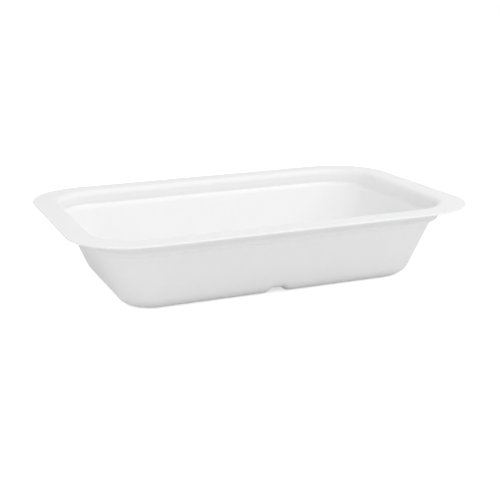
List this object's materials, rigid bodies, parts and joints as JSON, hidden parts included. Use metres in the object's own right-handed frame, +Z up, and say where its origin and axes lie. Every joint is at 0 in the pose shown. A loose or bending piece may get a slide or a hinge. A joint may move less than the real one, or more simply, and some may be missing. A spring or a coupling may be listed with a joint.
{
  "type": "molded fiber food tray",
  "caption": "Shallow rectangular food tray with rounded corners, a flat flange, a stacking ledge, leaning walls and a channel across the base.",
  "frame": {"origin": "middle of the base, on the surface that the tray stands on", "axes": "+X along the long side, +Y along the short side, +Z up out of the mouth"},
  "size_m": [0.222, 0.1544, 0.0425],
  "materials": {
    "pulp": "matte white moulded fibre, very finely mottled"
  },
  "bodies": {
    "root": {"tray": "pulp"}
  },
  "joints": []
}
